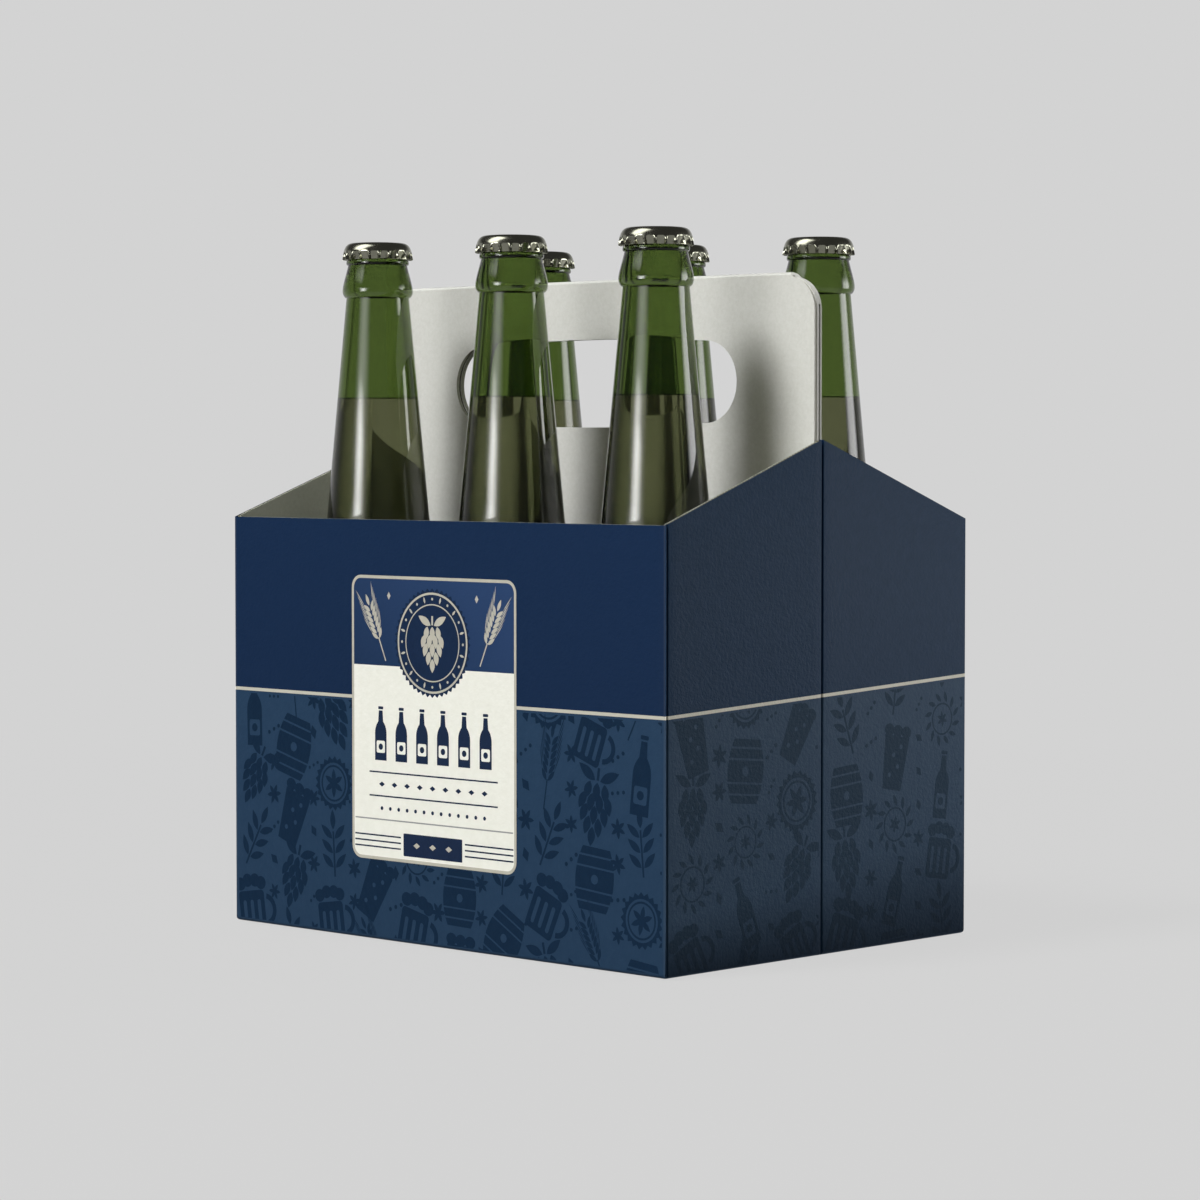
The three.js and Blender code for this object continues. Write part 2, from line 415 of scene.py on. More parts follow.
def object_place(tree):
    """The place on the object as three sockets, in metres."""
    where = node(tree, "TexCoord").outputs["Object"]
    return node(tree, "SeparateXYZ", {0: where}).outputs


def noise(tree, scale, detail=2.0, roughness=0.5):
    where = node(tree, "TexCoord").outputs["Object"]
    return node(tree, "TexNoise", {
        "Vector": where, "Scale": scale, "Detail": detail, "Roughness": roughness}).outputs["Fac"]


def ranged(tree, value, low, high, new_low=0.0, new_high=1.0, kind="LINEAR"):
    """A value carried from one range to another, and held at its ends."""
    return node(tree, "MapRange", {
        "Value": value, "From Min": low, "From Max": high, "To Min": new_low, "To Max": new_high},
        interpolation_type=kind).outputs[0]


def mixed(tree, share, first, second):
    return node(tree, "Mix", {0: share, 6: first, 7: second}, data_type="RGBA").outputs[2]


def calc(tree, operation, first, second=0.0, third=0.0):
    return node(tree, "Math", {0: first, 1: second, 2: third}, operation=operation).outputs[0]


def bump(tree, height, depth, strength=1.0, under=None):
    """Relief of a depth in metres, over other relief where that is given."""
    inputs = {"Height": height, "Distance": depth, "Strength": strength}
    if under:
        inputs["Normal"] = under
    return node(tree, "Bump", inputs).outputs[0]


def paper_relief(tree, fine, broad, rough_ends=False):
    """Bump of paper fibres and of the leathery unevenness of pressed board, as depths in metres."""
    waves = noise(tree, 800, 3, 0.6)
    if rough_ends:
        broad *= END_RELIEF
        waves = calc(tree, "MULTIPLY", waves, ranged(tree, end_share(tree), 0.0, 1.0, 1 / END_RELIEF, 1.0))
    return bump(tree, waves, broad, under=bump(tree, noise(tree, 2600, 3), fine))


def printed_finish(tree, shader, colour, relief=1.0, rough_ends=False):
    """Ink on pressed board: its colour, a satin surface and the board's grain."""
    fill_in(tree, shader, {
        "Base Color": colour,
        "Roughness": 0.55,
        "Specular IOR Level": 0.1,
        "Normal": paper_relief(tree, FIBRES, GRAIN * relief, rough_ends),
    })


def end_share(tree):
    """One on the gabled end walls, and zero on the long walls."""
    across = calc(tree, "ABSOLUTE", object_place(tree)[0])
    return calc(tree, "GREATER_THAN", across, (LENGTH / 2 - FACE_DEPTH) * MM)


def painted_low_shade(tree, shader, colour):
    """Ink of an end wall with painted shade: deeper in tone and duller towards the bottom fold, most so at
    the far corner.
    """
    position = object_place(tree)
    toward_far = calc(tree, "MULTIPLY", position[1], calc(tree, "SIGN", position[0]))
    reach = calc(tree, "MULTIPLY_ADD", toward_far, (END_SHADE_FAR - END_SHADE_NEAR) / DEPTH,
                 (END_SHADE_FAR + END_SHADE_NEAR) / 2 * MM)
    near_floor = ranged(tree, position[2], 0.0, reach, 1.0, 0.0)
    share = calc(tree, "MULTIPLY", near_floor, end_share(tree))
    fill_in(tree, shader, {"Specular Tint": mixed(tree, share, (1, 1, 1, 1), (0, 0, 0, 1))})
    return mixed(tree, calc(tree, "MULTIPLY", share, END_PAINTED_SHADE_SHARE), colour, END_PAINTED_SHADE)


def printed_material():
    """Navy above the band and a lighter field below it, with a painted highlight along the front's end
    creases.
    """
    material, tree, shader = new_material("printed_face")
    position = object_place(tree)
    climb = calc(tree, "MULTIPLY_ADD", position[1], BAND_SLOPE, (BAND_Z + BAND_SLOPE * DEPTH / 2) * MM)
    height = calc(tree, "SUBTRACT", position[2], climb)
    above = calc(tree, "GREATER_THAN", height, 0.0)
    on_band = calc(tree, "COMPARE", height, 0.0, BAND_WIDTH / 2 * MM)
    mottle = ranged(tree, noise(tree, 300, 4, 0.6), 0.3, 0.7)

    def ground(field, navy):
        return mixed(tree, above, mixed(tree, mottle, *field), mixed(tree, mottle, *navy))

    # The end walls' ground: inks lightened as painted sheen, with painted shade towards the bottom fold
    end_ground = painted_low_shade(tree, shader, ground(END_FIELD_PAINTED_SHEEN, END_NAVY_PAINTED_SHEEN))
    colour = mixed(tree, end_share(tree), ground(FIELD, NAVY), end_ground)
    across = calc(tree, "ABSOLUTE", position[0])
    deep = calc(tree, "ABSOLUTE", position[1])
    # A painted highlight: cream mixed in thinly along the front's end creases
    at_corner = calc(tree, "COMPARE", across, (LENGTH / 2 - CREASE_HIGHLIGHT_INSET) * MM, CREASE_HIGHLIGHT_WIDTH / 2 * MM)
    on_front = calc(tree, "GREATER_THAN", deep, (DEPTH / 2 - FACE_DEPTH) * MM)
    crease_highlight = calc(tree, "MULTIPLY", calc(tree, "MULTIPLY", at_corner, on_front), CREASE_HIGHLIGHT_SHARE)
    colour = mixed(tree, crease_highlight, colour, CREAM[0])
    # The end walls' band is a lighter cream, as painted sheen
    band = mixed(tree, end_share(tree), CREAM[0], END_CREAM_PAINTED_SHEEN)
    printed_finish(tree, shader, mixed(tree, on_band, colour, band), rough_ends=True)
    return material


def ink_material(name, tones, on_ends=False):
    """A flat ink with a slight unevenness between its two tones."""
    material, tree, shader = new_material(name)
    ink = mixed(tree, ranged(tree, noise(tree, 500, 4, 0.6), 0.3, 0.7), *tones)
    if on_ends:
        # painted shade towards the bottom fold of the end walls
        ink = painted_low_shade(tree, shader, ink)
    printed_finish(tree, shader, ink, rough_ends=on_ends)
    return material


def paper_material(name, tones):
    """Bare board, matt."""
    material, tree, shader = new_material(name)
    fill_in(tree, shader, {
        "Base Color": mixed(tree, ranged(tree, noise(tree, 900, 5, 0.7), 0.35, 0.65), *tones),
        "Roughness": 0.8,
        "Specular IOR Level": 0.3,
        "Normal": paper_relief(tree, BARE_FIBRES, BARE_GRAIN),
    })
    return material


def glass_material(name, tint, ior=GLASS_IOR, gloss=1.0, dark_line=None):
    """Clear tinted glass or drink.

    The dark line is given as its start and end, by how far the surface turns away, and its strength. In glass
    it shows only where the surface is seen from within.
    """
    material, tree, shader = new_material(name)
    deeper = tuple(c * 0.94 for c in tint[:3]) + (1,)
    colour = mixed(tree, noise(tree, 120, 1), tint, deeper)
    if dark_line:
        start, end, strength = dark_line
        facing = node(tree, "LayerWeight", {"Blend": 0.5}).outputs["Facing"]
        share = ranged(tree, facing, start, end, 0.0, strength)
        if ior == GLASS_IOR:
            share = calc(tree, "MULTIPLY", share, node(tree, "NewGeometry").outputs["Backfacing"])
        colour = mixed(tree, share, colour, DARK_LINE)
    fill_in(tree, shader, {
        "Base Color": colour,
        "Roughness": 0.03,
        "IOR": ior,
        "Specular Tint": (gloss, gloss, gloss, 1),
        "Transmission Weight": 1.0,
        "Normal": bump(tree, noise(tree, 45, 1), 0.0002, 0.3),
    })
    return material


def metal_material():
    """Tinplate, a little uneven in tone and polish."""
    material, tree, shader = new_material("tinplate")
    wear = noise(tree, 700, 5, 0.7)
    fill_in(tree, shader, {
        "Base Color": mixed(tree, wear, *TINPLATE),
        "Roughness": ranged(tree, wear, 0.3, 0.7, 0.15, 0.24),
        "Metallic": 1.0,
        "Normal": bump(tree, wear, 0.00001),
    })
    return material


printed = printed_material()
bare = paper_material("bare_board", OUTER_PAPER)
shaded = paper_material("inner_board", INNER_PAPER_PAINTED_SHADE)
medium = paper_material("flute_paper", WAVY_PAPER_PAINTED_SHADE)
core = paper_material("cut_core", CUT_CORE)
shaded_cut = paper_material("shaded_cut", SHADED_CUT)
dark = paper_material("gap_shade", GAP_SHADE)


# The basket

def rim(x, y):
    """How high the basket stands at a place on its walls."""
    if abs(x) < LENGTH / 2 - BOARD - REST_GAP:
        return WALL_TOP
    return WALL_TOP + (GABLE_TOP - WALL_TOP) * (1 - min(1, abs(y) / (DEPTH / 2)))


def softened(corners, radii):
    """A line through corners, each rounded by a short curve of its own radius."""
    line = [corners[0]]
    for radius, before, at, after in zip(radii, corners, corners[1:], corners[2:]):
        legs = [(end, math.dist(at, end)) for end in (before, after)]
        start, stop = [between(at, end, min(radius, leg / 2) / leg) for end, leg in legs]
        line += bezier([start, at, stop], 3)
    return line + [corners[-1]]


def outer_path():
    """The printed face of the front half in plan, from the left seam round the front to the right seam."""
    x, y = FACE_X, FACE_Y
    seam = SEAM_GAP / 2
    near = -y + GROOVE_FROM_CORNER
    far = near + GROOVE_WIDTH
    groove = [
        (x, near),
        (x - GROOVE_DEPTH, near + GROOVE_LEAN),
        (x - GROOVE_DEPTH, far - GROOVE_LEAN),
        (x, far),
    ]
    left = [(-x + SEAM_DEPTH, -seam), (-x, -seam), (-x, -y)]
    right = [(x, -y), *groove, (x, -seam), (x - SEAM_DEPTH, -seam)]
    groove_radii = [GROOVE_LIP, GROOVE_ROUND, GROOVE_ROUND, GROOVE_LIP]
    return softened(left + right, [SEAM_FOLD, CORNER_SOFTNESS, CORNER_SOFTNESS, *groove_radii, SEAM_FOLD])


def inner_path(depth):
    """A layer of the front half in plan, a depth in from the printed face."""
    x, y, seam = LENGTH / 2 - depth, DEPTH / 2 - depth, SLIT / 2 + depth
    right = [(x, -y), (x, -seam), (HANDLE_HALF_LENGTH, -seam)]
    left = [(-px, py) for px, py in reversed(right)]
    return softened(left + right, [SEAM_FOLD] * 4)


def split_long(path, longest):
    """The same line with its long straight runs cut up."""
    line = [path[0]]
    for a, b in zip(path, path[1:]):
        parts = max(1, math.ceil(math.dist(a, b) / longest))
        line += [between(a, b, i / parts) for i in range(1, parts + 1)]
    return line


def fold_inset(z):
    """How far the walls' faces draw in above the fold to the floor."""
    below = max(0.0, 1 - z / BOTTOM_FOLD)
    return BOTTOM_FOLD * (1 - math.sqrt(1 - below * below))


def tucked(x, y, depth):
    """A place on the walls, no nearer to the outside than a depth."""
    return tuple(max(depth - most, min(most - depth, at)) for at, most in ((x, FACE_X), (y, FACE_Y)))


def wall_layer(path, thickness, base):
    """One paper of the walls: a closed band along the path, up to the rim."""
    folded = [BOTTOM_FOLD * (1 - math.cos(math.radians(a))) for a in (0, 22, 45, 67, 90)]
    lows = folded if base == 0 else [base]
    loops = []
    for (x, y), (nx, ny) in zip(path, normals(path)):
        top = rim(x, y)
        soft = ((1, 0), (0.25, 0.25), (0, 1))
        edge = [(top - EDGE_SOFTNESS * drop, EDGE_SOFTNESS * depth) for drop, depth in soft]
        inside = [(top, thickness), (lows[-1] + 0.1, thickness), (lows[0], thickness)]
        places = [(z, 0) for z in lows] + edge + inside
        loops.append([(*tucked(x - nx * d, y - ny * d, d + fold_inset(z)), z) for z, d in places])
    return rings(loops)


def flute_wave(path, base):
    """The wavy paper between the liners, a closed sheet that follows the path."""
    fine = resampled(path, FLUTE_PITCH / FLUTE_SIDES)
    swing = (BOARD - 2 * LINER - FLUTE_PAPER) / 2 + FLUTE_BITE
    loops = []
    along = 0.0
    for i, ((x, y), (nx, ny)) in enumerate(zip(fine, normals(fine))):
        if i:
            along += math.dist(fine[i - 1], fine[i])
        offset = swing * math.sin(TAU * along / FLUTE_PITCH)
        if abs(x) > LENGTH / 2 - BOARD and abs(y) > DEPTH / 2 - 2 * BOARD:
            offset = max(offset, GROOVE_DEPTH + LINER + FLUTE_PAPER / 2 - BOARD / 2)
        top = rim(x, y) - FLUTE_DROP
        depths = (offset - FLUTE_PAPER / 2, offset + FLUTE_PAPER / 2)
        a, b = [(x - nx * depth, y - ny * depth) for depth in depths]
        loops.append([(*a, base), (*a, top), (*b, top), (*b, base)])
    return rings(loops)


def both_halves(shape):
    """The front half with its rear twin, turned half round."""
    return shape.join(Shape().join(shape).moved(lambda x, y, z: (-x, -y, z)))


def make_basket():
    face = wall_layer(split_long(outer_path(), 4), LINER, 0)
    place("basket_printed_liner", both_halves(face), [printed], replaces=["carrier_board"])
    lining = wall_layer(split_long(inner_path(BOARD), 4)[::-1], LINER, FLOOR)
    place("basket_inner_liner", both_halves(lining), [shaded])
    flutes = flute_wave(inner_path(BOARD / 2), FLOOR / 2)
    place("basket_flutes", both_halves(flutes), [medium])


def make_floor():
    """Two bottom flaps, the rear one lapped over the front one."""
    x = LENGTH / 2 - BOARD - FLAP_GAP
    y = DEPTH / 2 - BOARD - FLAP_GAP
    lower = prism([[(-x, -y), (x, -y), (x, FLAP_LAP), (-x, FLAP_LAP)]], 0, BOARD - FLAP_GAP)
    upper = prism([[(-x, -FLAP_LAP), (x, -FLAP_LAP), (x, y), (-x, y)]], BOARD, FLOOR)
    place("bottom_flaps", lower.join(upper), [bare])


# The print

def oval(width, height, steps=20):
    angles = [TAU * i / steps for i in range(steps)]
    return [(width / 2 * math.cos(a), height / 2 * math.sin(a)) for a in angles]


def mirrored(side):
    """A closed outline from its right side, which is given upwards."""
    return side + [(-x, y) for x, y in reversed(side)]


def petal(length, width, steps=8):
    """A pointed oval that stands on the origin."""
    side = bezier([(0, 0), (width * 0.75, length * 0.42), (0, length)], steps)
    return side + [(-x, y) for x, y in side[-2:0:-1]]


def box(width, height, radius=0.0):
    x, y = width / 2, height / 2
    if not radius:
        return [(-x, -y), (x, -y), (x, y), (-x, y)]
    cx, cy = x - radius, y - radius
    corners = ((cx, cy), (-cx, cy), (-cx, -cy), (cx, -cy))
    return [p for i, corner in enumerate(corners) for p in arc(*corner, radius, 90 * i, 90 * i + 90, 6)]


def put(outline, x=0.0, y=0.0, turn=0.0, scale=1.0):
    """An outline turned by degrees, scaled and moved."""
    c, s = on_circle(scale, math.radians(turn))
    return [(x + px * c - py * s, y + px * s + py * c) for px, py in outline]


def put_all(figure, x=0.0, y=0.0, turn=0.0, scale=1.0):
    return [[put(outline, x, y, turn, scale) for outline in shape] for shape in figure]


def hop_cone():
    """A cone of bracts in rows under a short stem with two leaves."""
    rows = (
        (4.6, (-2.3, 0, 2.3)),
        (1.9, (-3.4, -1.15, 1.15, 3.4)),
        (-0.9, (-2.7, 0, 2.7)),
        (-3.6, (-1.5, 1.5)),
        (-6, (0,)),
    )
    figure = [[put(petal(4.6, 3.2), x, y + 1.6, 180 + 6 * x)] for y, xs in rows for x in xs]
    figure += [[put(petal(6.5, 3.4), side * 0.8, 6.6, -side * 62)] for side in (1, -1)]
    return figure + [[put(box(0.8, 3), 0, 8.2)]]


def barley_ear():
    figure = [[put(box(0.5, 9), 0, -7.5)]]
    for i in range(6):
        y = -3.4 + 2.1 * i
        figure += [[put(petal(4.0, 1.9), side * 0.35, y, -side * 34)] for side in (-1, 1)]
        figure += [[put(petal(7.0, 0.5, 3), side * 2.4, y + 3.0, -side * 16)] for side in (-1, 1)]
    return figure + [[put(petal(4.4, 1.9), 0, 9.2)]]


def bottle_figure():
    """A long-neck bottle with a window for its label."""
    side = [(2.9, -9), (2.9, 0.2), *bezier([(2.9, 0.2), (2.9, 2.6), (1.25, 4.4)], 5)[1:], (0.95, 8.2)]
    window = put(box(4.2, 4.2, 0.6), 0, -4.3)
    return [[mirrored(side), window], [put(oval(2.2, 2.2, 14), 0, -4.3)], [put(box(2.5, 1.0, 0.3), 0, 9.1)]]


def cap_figure():
    teeth = 42
    rim_line = [on_circle(6.4 + 0.45 * (-1) ** i, TAU * i / teeth) for i in range(teeth)]
    star = [[put(petal(3.6, 1.9), 0, 0, 60 * i)] for i in range(6)]
    return [[rim_line, oval(10.4, 10.4, 28)], [oval(9.2, 9.2, 28), oval(8.2, 8.2, 28)], *star]


def mug():
    body = put(box(8.5, 9.5, 0.9), -1, -1.5)
    panes = [put(box(1.1, 6.2, 0.5), x, -1.9) for x in (-3.4, -1, 1.4)]
    ear = [arc(3.4, -1.2, 3.6, -78, 78, 12) + arc(3.4, -1.2, 2.4, 78, -78, 12)]
    foam = [[put(oval(3.3, 3.0, 14), x, y)] for x, y in ((-4.3, 4.9), (-1.9, 5.6), (0.6, 5.5), (2.6, 4.8))]
    return [[body, *panes], ear, *foam]


def barrel():
    """Staves between hoops, as wide bands with gaps."""
    def half_width(y):
        return 5.4 - 1.6 * (y / 6.5) ** 2

    figure = []
    for low, high in ((-6.5, -4.9), (-4.5, -2.6), (-2.2, 2.2), (2.6, 4.5), (4.9, 6.5)):
        heights = [low + (high - low) * i / 4 for i in range(5)]
        figure.append([mirrored([(half_width(y), y) for y in heights])])
    figure[2].append(put(oval(2.0, 2.0, 14)))
    return figure


def sprig():
    figure = [[put(box(0.5, 10), 0, -1)]]
    for i in range(3):
        figure += [[put(petal(4.6, 2.2), side * 0.4, -4 + 3.2 * i, -side * 48)] for side in (-1, 1)]
    return figure + [[put(petal(4.4, 2.2), 0, 4.4)]]


def rosette():
    return [[put(petal(2.3, 1.3, 5), 0, 0, 60 * i)] for i in range(6)]


def dots():
    return [[put(oval(0.9, 0.9, 10), x, 0)] for x in (-1.7, 0, 1.7)]


def lozenge():
    return [[[(0, -1.6), (1.0, 0), (0, 1.6), (-1.0, 0)]]]


def glass_of_beer():
    """A tall tumbler with foam and a few bubbles."""
    body = [(-3.4, -8), (3.4, -8), (4.6, 5), (-4.6, 5)]
    bubbles = [put(oval(1.2, 1.2, 10), x, y) for x, y in ((-1.4, -4.5), (1.3, -2.2), (-0.6, 0.4), (1.8, 2.6))]
    foam = [[put(oval(3.6, 3.0, 14), x, 6.2)] for x in (-3.2, 0, 3.2)]
    return [[body, *bubbles], *foam]


def wreath():
    """Leaves around a ring."""
    figure = [[oval(9.2, 9.2, 28), oval(8.2, 8.2, 28)]]
    for i in range(12):
        figure.append([put(petal(3.4, 1.8, 5), *on_circle(4.9, math.radians(30 * i)), 30 * i - 52)])
    return figure + rosette()


# Each large figure with the scale that fits it between its neighbours
LARGE_FIGURES = (
    (hop_cone, 1.25), (bottle_figure, 1.25), (mug, 1.45), (barley_ear, 1.05), (cap_figure, 1.35),
    (barrel, 1.45), (sprig, 1.45), (glass_of_beer, 1.3), (wreath, 1.15),
)
SMALL_FIGURES = (rosette, dots, lozenge)

# How far the inks stand out of the face, so that each lies over the one before
PATTERN_INK = 0.006
FIELD_INK = 0.05
DISC_INK = 0.056
LINE_INK = 0.064
MARK_INK = 0.072
INK_STEP = 0.0005
INK_STEPS = 7
FIGURE_STEPS = 11


def plates(figure, high):
    """Flat ink in the wall's own plane: a thin plate for each shape, with no two level where they lap."""
    shape = Shape()
    for i, outlines in enumerate(figure):
        shape.join(prism(outlines, -0.02, high + INK_STEP * (i % INK_STEPS)))
    return shape


def pattern_plates(figures):
    """The pattern's ink, with levels of its own for each figure, as neighbours may lap."""
    shape = Shape()
    for i, figure in enumerate(figures):
        shape.join(plates(figure, PATTERN_INK + INK_STEP * INK_STEPS * (i % FIGURE_STEPS)))
    return shape


def on_wall(shape, wall):
    """Moves flat ink onto one of the four walls."""
    places = {
        "front": lambda u, v, d: (u, -FACE_Y - d, v),
        "right": lambda u, v, d: (FACE_X + d, u, v),
        "rear": lambda u, v, d: (-u, FACE_Y + d, v),
        "left": lambda u, v, d: (-FACE_X - d, -u, v),
    }
    return shape.moved(places[wall])


def clipped(outline, room):
    """The part of an outline where room, a function of a point, is above zero."""
    kept = []
    for a, b in zip(outline, outline[1:] + outline[:1]):
        here, there = room(a), room(b)
        if here > 0:
            kept.append(a)
        if (here > 0) != (there > 0):
            kept.append(between(a, b, here / (here - there)))
    return kept


# The tonal pattern of the lower field: a half-drop layout with small figures between the large ones
COLUMN = 21
ROW = 22
PATTERN_LOW = 6
PATTERN_TOP_GAP = 1.3
PATTERN_EDGE = 1.6


def pattern(low, high, slope, middle, draw):
    """Figures between two places along a wall, cut off at the band, the corners and the bottom fold."""
    columns = round((high - low) / COLUMN)
    pitch = (high - low) / columns
    order = list(LARGE_FIGURES)
    placed = []
    for i in range(columns):
        u = low + (i + 0.5) * pitch
        drop = ROW / 2 if i % 2 else 0
        draw.shuffle(order)
        for j in range(6):
            v = PATTERN_LOW + j * ROW - drop
            figure, scale = order[j]
            placed.append(put_all(figure(), u, v, draw.uniform(-32, 32), scale * draw.uniform(0.95, 1.08)))
            for lift in (0.25, 0.75):
                small = draw.choice(SMALL_FIGURES)()
                turn = draw.uniform(0, 60)
                placed.append(put_all(small, u + pitch / 2, v + ROW * lift, turn, draw.uniform(1.2, 1.6)))
    edges = (
        lambda p: p[0] - low - PATTERN_EDGE,
        lambda p: high - PATTERN_EDGE - p[0],
        lambda p: p[1] - BOTTOM_FOLD,
        lambda p: BAND_Z + BAND_SLOPE * (slope * p[0] + middle) - PATTERN_TOP_GAP - p[1],
    )
    figures = []
    for made in placed:
        kept = []
        for outlines in made:
            for edge in edges:
                outer = clipped(outlines[0], edge)
                holes = [clipped(hole, lambda p: edge(p) - 0.05) for hole in outlines[1:]]
                outlines = [outer] + [hole for hole in holes if len(hole) > 2]
            if len(outlines[0]) > 2:
                kept.append(outlines)
        figures.append(kept)
    return figures


# The label's edges along the wall and by height, and the height where its blue field meets the white one
LABEL_LEFT = -40.8
LABEL_RIGHT = 35.9
LABEL_LOW = 26.4
LABEL_HIGH = 119.5
LABEL_SPLIT = 90.1
LABEL_BORDER = 1.0
LABEL_CORNER = 4.2

# The medallion on the label's split: a scalloped disc with rings, and rays around a cone
MEDAL_LIFT = 8.2
MEDAL_RADIUS = 17.2
MEDAL_TEETH = 48
MEDAL_TOOTH = 0.5
MEDAL_RINGS = ((32.6, 31.2, 64), (25.2, 24.4, 56))  # outer and inner width, and sides
RAYS = 24
RAY_RADIUS = 13.1

# The rows under it, by their height on the wall
BOTTLE_ROW = 67.6
UPPER_RULE = 55.2
LOZENGE_ROW = 51.3
LOWER_RULE = 47.4
DOT_ROW = 43.4
GREY_RULE = 39.7
FOOT_PLATE = 32.2
FOOT_RULES = 30.6
RULE = 0.5
RULE_LENGTH = 60


def label_material():
    """The label's blue, a little lighter towards its upper right."""
    material, tree, shader = new_material("label_blue")
    position = object_place(tree)
    facing = calc(tree, "MULTIPLY", calc(tree, "SIGN", position[1]), -1.0)
    side = calc(tree, "MULTIPLY", position[0], facing)
    across = ranged(tree, side, LABEL_LEFT * MM, LABEL_RIGHT * MM, 0.0, 0.6)
    up = ranged(tree, position[2], LABEL_SPLIT * MM, LABEL_HIGH * MM, 0.0, 0.4)
    blue = mixed(tree, calc(tree, "ADD", across, up), *LABEL_BLUE)
    printed_finish(tree, shader, blue, LABEL_RELIEF)
    return material


def label_plates():
    """The label's fields and ornaments, as plates of ink by their colour."""
    width, height = LABEL_RIGHT - LABEL_LEFT, LABEL_HIGH - LABEL_LOW
    x, z = (LABEL_LEFT + LABEL_RIGHT) / 2, (LABEL_LOW + LABEL_HIGH) / 2
    inner_width, inner_height = width - 2 * LABEL_BORDER, height - 2 * LABEL_BORDER
    outside = put(box(width, height, LABEL_CORNER), x, z)
    inside = put(box(inner_width, inner_height, LABEL_CORNER - LABEL_BORDER), x, z)
    medal = LABEL_SPLIT + MEDAL_LIFT

    def field(beyond):
        """The ground inside the border, above or below the split."""
        line = [(px, beyond(pz, LABEL_SPLIT)) for px, pz in inside]
        return [[[p for p, q in zip(line, line[1:] + line[:1]) if math.dist(p, q) > 1e-6]]]

    def row(figure, count, pitch, height, turn=0, scale=1.0):
        """A figure again and again at an even pitch, around the label's middle."""
        places = [x + pitch * (i - (count - 1) / 2) for i in range(count)]
        return [shape for place_x in places for shape in put_all(figure, place_x, height, turn, scale)]

    steps = 4 * MEDAL_TEETH
    scallop = [
        on_circle(MEDAL_RADIUS + MEDAL_TOOTH * math.cos(TAU * i / 4), TAU * i / steps) for i in range(steps)]
    cream = [[outside, inside]]
    for outer, inner, sides in MEDAL_RINGS:
        cream.append([put(oval(size, size, sides), x, medal) for size in (outer, inner)])
    for i in range(RAYS):
        angle = 360 / RAYS * i
        ray = petal(2.2, 1.1, 4) if i % 2 else put(oval(0.9, 0.9, 10), 0, 1.1)
        ray = put(ray, *on_circle(RAY_RADIUS, math.radians(angle)), angle - 90)
        cream.append([put(ray, x, medal)])
    cream += put_all(hop_cone(), x, medal - 0.8, 0, 0.98)
    for side in (-1, 1):
        cream += put_all(barley_ear(), x + side * 26.5, medal + 3.5, -side * 24, 0.92)
        cream += put_all(lozenge(), x + side * 20.5, LABEL_HIGH - 6.5, 0, 0.8)

    navy = row(bottle_figure(), 6, 9.8, BOTTLE_ROW, 0, 0.95)
    navy.append([put(box(RULE_LENGTH, RULE), x, UPPER_RULE)])
    navy += row(lozenge(), 9, 6, LOZENGE_ROW, 90, 0.85)
    navy.append([put(box(RULE_LENGTH, RULE), x, LOWER_RULE)])
    navy += row([[oval(1.3, 1.3, 12)]], 13, 4, DOT_ROW)
    for i in range(3):
        navy += [[put(box(22, RULE), x + side * 26, FOOT_RULES + 1.9 * i)] for side in (-1, 1)]
    navy.append([put(box(27.5, 7.4, 0.3), x, FOOT_PLATE)])
    grey = [[put(box(inner_width - 1.0, 0.45), x, GREY_RULE)]]
    marks = row(lozenge(), 3, 7.5, FOOT_PLATE, 90, 0.95)
    return {
        "blue": plates(field(max), FIELD_INK),
        "white": plates(field(min), FIELD_INK),
        "disc": plates([[put(scallop, x, medal)]], DISC_INK),
        "cream": plates(cream, LINE_INK).join(plates(marks, MARK_INK)),
        "navy": plates(navy, LINE_INK),
        "grey": plates(grey, LINE_INK),
    }


def make_print():
    tones = {"white": LABEL_WHITE, "disc": LABEL_DISC, "cream": CREAM, "navy": LABEL_NAVY, "grey": LABEL_GREY}
    inks = {kind: ink_material(f"label_{kind}", pair) for kind, pair in tones.items()}
    inks["blue"] = label_material()
    for wall in ("front", "rear"):
        for kind, shape in label_plates().items():
            place(f"label_{kind}_{wall}", on_wall(shape, wall), [inks[kind]])
    tonal = ink_material("tonal_ink", MOTIF)
    end_tonal = ink_material("end_tonal_ink", END_MOTIF_PAINTED_SHEEN, on_ends=True)
    draw = random.Random(11)
    x, y = LENGTH / 2, DEPTH / 2
    walls = {
        "front": pattern(-x, x, 0, 0, draw),
        "rear": pattern(-x, x, 0, 2 * y, draw),
        "right": pattern(-y, 0, 1, y, draw) + pattern(0, y, 1, y, draw),
        "left": pattern(-y, 0, -1, y, draw) + pattern(0, y, -1, y, draw),
    }
    for wall, figures in walls.items():
        ink = end_tonal if wall in ("right", "left") else tonal
        place(f"pattern_{wall}", on_wall(pattern_plates(figures), wall), [ink])


# The handle

def handle_half():
    """The right half of the handle's outline, from the floor to the end of the top fold."""
    arc_x = HANDLE_HALF_LENGTH - HANDLE_CORNER
    arc_z = HANDLE_TOP - TOP_FOLD_STEP - HANDLE_CORNER
    round_end = arc(arc_x, arc_z, HANDLE_CORNER, 0, HANDLE_CORNER_ARC, 16)
    x, z = round_end[-1]
    up, back = on_circle(STEP_SOFTNESS, math.radians(HANDLE_CORNER_ARC))
    step = bezier([
        (x, z),
        (x - back, z + up),
        (TOP_FOLD_HALF_LENGTH + STEP_SOFTNESS, HANDLE_TOP),
        (TOP_FOLD_HALF_LENGTH, HANDLE_TOP),
    ], 14)
    return [(HANDLE_HALF_LENGTH, FLOOR), *round_end, *step[1:]]


